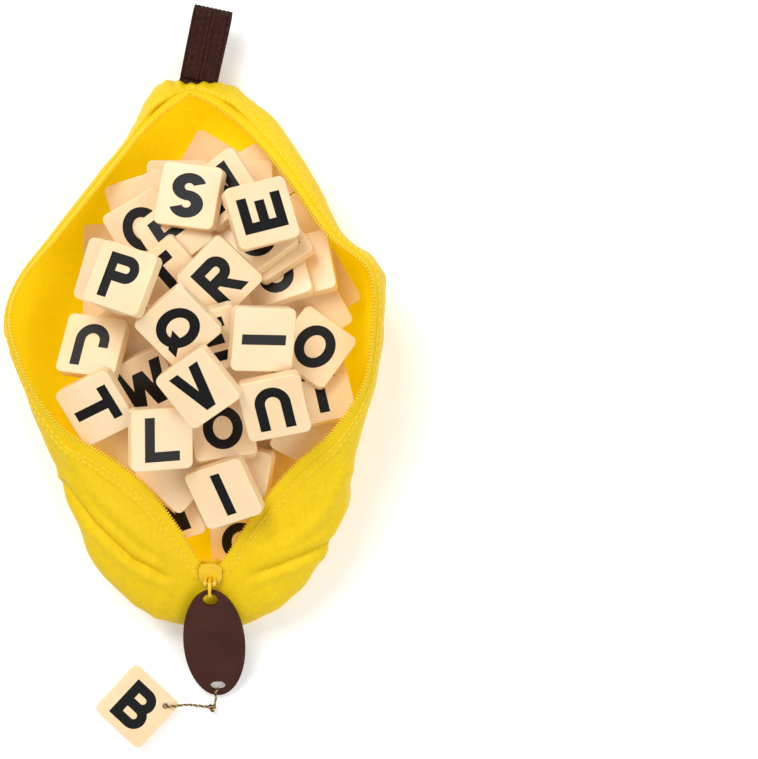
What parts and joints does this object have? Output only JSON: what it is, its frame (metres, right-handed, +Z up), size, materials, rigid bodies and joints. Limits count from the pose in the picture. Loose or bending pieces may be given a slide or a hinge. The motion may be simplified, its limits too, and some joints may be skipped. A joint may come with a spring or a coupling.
{
  "type": "word tile game case",
  "caption": "Soft zipped pouch lying open on its flat base, heaped with thick letter tiles, with a webbing loop and a leaf-shaped pull tag.",
  "frame": {"origin": "centre of the base panel's underside, on the table", "axes": "+Z up out of the mouth, +Y towards the webbing loop at the stem end, +X to the right seen from above"},
  "size_m": [0.1511, 0.309, 0.0837],
  "materials": {
    "fabric_yellow": "smooth tight weave",
    "lining_golden": "matt woven lining",
    "tape_yellow": "ribbed zip tape",
    "coil_yellow": "moulded coil",
    "metal_yellow": "enamelled",
    "tag_brown": "satin",
    "webbing_brown": "ribbed webbing",
    "cord_gold": "twisted, gold and black strands",
    "tile_ivory": "satin, with black sunk letters"
  },
  "bodies": {
    "pouch": {"base_lining": "lining_golden", "base_panel": "fabric_yellow", "bottom_stop": "metal_yellow", "face_down_tiles": "tile_ivory", "left_lining": "lining_golden", "left_panel": "fabric_yellow", "left_zip_coil": "coil_yellow", "left_zip_tape": "tape_yellow", "lower_tiles_1": "tile_ivory", "lower_tiles_2": "tile_ivory", "lower_tiles_3": "tile_ivory", "lower_tiles_4": "tile_ivory", "lower_tiles_5": "tile_ivory", "right_lining": "lining_golden", "right_panel": "fabric_yellow", "right_zip_coil": "coil_yellow", "right_zip_tape": "tape_yellow", "tile_01_c": "tile_ivory", "tile_02_n": "tile_ivory", "tile_03_t": "tile_ivory", "tile_04_o": "tile_ivory", "tile_05_j": "tile_ivory", "tile_06_e": "tile_ivory", "tile_07_o": "tile_ivory", "tile_08_c": "tile_ivory", "tile_09_f": "tile_ivory", "tile_10_n": "tile_ivory", "tile_11_t": "tile_ivory", "tile_12_r": "tile_ivory", "tile_13_e": "tile_ivory", "tile_14_i": "tile_ivory", "tile_15_w": "tile_ivory", "tile_16_q": "tile_ivory", "tile_17_j": "tile_ivory", "tile_18_t": "tile_ivory", "tile_19_o": "tile_ivory", "tile_20_i": "tile_ivory", "tile_21_l": "tile_ivory", "tile_22_u": "tile_ivory", "tile_25_s": "tile_ivory", "webbing_tail": "webbing_brown"},
    "stem_loop": {"stem_loop": "webbing_brown"},
    "slider": {"slider_body": "metal_yellow", "slider_pin": "metal_yellow"},
    "link": {"pull_link": "metal_yellow"},
    "tag": {"pull_tag": "tag_brown"},
    "hanger": {"tag_cord": "cord_gold", "cord_knot": "cord_gold", "hang_tile": "tile_ivory"},
    "tile_23_p_body": {"tile_23_p": "tile_ivory"},
    "tile_24_v_body": {"tile_24_v": "tile_ivory"},
    "tile_26_e_body": {"tile_26_e": "tile_ivory"}
  },
  "joints": [
    {"name": "slider_slide", "type": "slide", "parent": "pouch", "child": "slider", "axis": [0, 0.9511, 0.309], "range_m": [0, 0.008]},
    {"name": "link_hinge", "type": "hinge", "parent": "slider", "child": "link", "pos_m": [0, -0.0951, 0.02942], "axis": [-1, 0, 0], "range_deg": [0, 90]},
    {"name": "tag_hinge", "type": "hinge", "parent": "link", "child": "tag", "pos_m": [-0.00007, -0.09851, 0.02858], "axis": [-0.999, -0.0454, 0], "range_deg": [0, 60]},
    {"name": "hanger_hinge", "type": "hinge", "parent": "tag", "child": "hanger", "pos_m": [0.00179, -0.13945, 0.00369], "axis": [-1, 0, 0], "range_deg": [0, 30]},
    {"name": "loop_hinge", "type": "hinge", "parent": "pouch", "child": "stem_loop", "pos_m": [-0.00532, 0.1132, 0.015], "axis": [0.9781, -0.2079, 0], "range_deg": [-20, 50]},
    {"name": "tile_23_p_lift", "type": "slide", "parent": "pouch", "child": "tile_23_p_body", "axis": [0, 0, 1], "range_m": [0, 0.1]},
    {"name": "tile_24_v_lift", "type": "slide", "parent": "pouch", "child": "tile_24_v_body", "axis": [0, 0, 1], "range_m": [0, 0.1]},
    {"name": "tile_26_e_lift", "type": "slide", "parent": "pouch", "child": "tile_26_e_body", "axis": [0, 0, 1], "range_m": [0, 0.1]}
  ]
}
